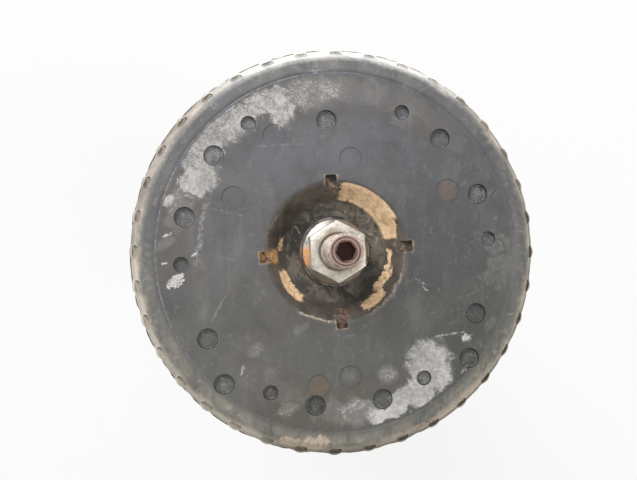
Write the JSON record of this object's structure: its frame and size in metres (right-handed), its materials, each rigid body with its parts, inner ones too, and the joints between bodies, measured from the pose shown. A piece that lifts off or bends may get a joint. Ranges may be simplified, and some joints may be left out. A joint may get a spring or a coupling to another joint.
{
  "type": "suspension strut",
  "caption": "Front suspension strut: twin-tube shock absorber with coil spring, rubber top mount, strut bearing and knuckle bracket.",
  "frame": {"origin": "middle of the top mount's flat rubber face, on the piston rod's axis", "axes": "+Z along the rod, up towards the car's body; +Y towards the knuckle between the two ears; +X completes a right-handed frame, towards the brake hose bracket"},
  "size_m": [0.1688, 0.1688, 0.5421],
  "materials": {
    "mount_rubber": "moulded rubber, aged and dusty, with pale mineral marks",
    "pressed_steel": "phosphated and painted pressing",
    "zinc_plate": "white zinc plate with a little rust",
    "zinc_plate_worn": "dulled zinc plate",
    "hard_chrome": "hard chrome on the shaft, rusted stud above",
    "race_plastic": "glass-filled plastic with an inlaid track",
    "foam_rubber": "microcellular foam",
    "plain_steel": "machined, oiled",
    "seal_rubber": "smooth moulded rubber",
    "sintered_iron": "sintered, oiled",
    "band_plastic": "filled fluoroplastic",
    "spring_steel": "rolled and tumbled",
    "cage_plastic": "natural nylon",
    "ball_steel": "polished",
    "black_paint": "black electrocoat",
    "isolator_rubber": "moulded rubber",
    "spring_coating": "black powder coat",
    "boot_rubber": "thin moulded rubber",
    "tube_paint": "black paint over weld seams",
    "bush_bronze": "bronze-backed bush"
  },
  "bodies": {
    "top_mount": {"mount_rubber": "mount_rubber", "mount_insert": "pressed_steel", "mount_core": "pressed_steel", "rod_nut": "zinc_plate", "stop_washer": "zinc_plate_worn", "support_washer": "pressed_steel", "piston_rod": "hard_chrome", "bearing_upper_race": "race_plastic", "bump_stop": "foam_rubber", "rebound_stop": "plain_steel", "rebound_cushion": "seal_rubber", "piston": "sintered_iron", "piston_band": "band_plastic", "compression_shims": "spring_steel", "rebound_shims": "spring_steel", "shim_backing_washers": "plain_steel", "piston_nut": "plain_steel"},
    "bearing_cage": {"ball_cage": "cage_plastic", "bearing_balls": "ball_steel"},
    "spring_seat": {"bearing_lower_race": "race_plastic", "upper_spring_seat": "black_paint", "upper_isolator": "isolator_rubber", "coil_spring": "spring_coating", "dust_boot": "boot_rubber"},
    "strut_tube": {"outer_tube": "tube_paint", "base_cup": "tube_paint", "inner_tube": "plain_steel", "rod_guide": "sintered_iron", "rod_bush": "bush_bronze", "oil_seal": "seal_rubber", "seal_spring": "spring_steel", "tube_cap": "tube_paint", "foot_valve_body": "sintered_iron", "foot_valve_shims": "spring_steel", "foot_valve_rivet": "plain_steel", "lower_spring_seat": "tube_paint", "lower_isolator": "isolator_rubber", "knuckle_bracket": "tube_paint", "stabiliser_bracket": "tube_paint", "hose_bracket": "tube_paint"}
  },
  "joints": [
    {"name": "steer", "type": "hinge", "parent": "top_mount", "child": "spring_seat", "pos_m": [0, 0, -0.02], "axis": [0, 0, 1], "range_deg": [-40, 40]},
    {"name": "cage_roll", "type": "hinge", "parent": "top_mount", "child": "bearing_cage", "pos_m": [0, 0, -0.02], "axis": [0, 0, 1], "range_deg": [-20, 20]},
    {"name": "stroke", "type": "slide", "parent": "spring_seat", "child": "strut_tube", "axis": [0, 0, 1], "range_m": [0, 0.13], "stiffness_N_per_m": 20000, "springref_m": -0.04, "deforming": ["coil_spring", "dust_boot"]}
  ],
  "couplings": [
    {"joint": "cage_roll", "follows": "steer", "ratio": 0.5}
  ]
}
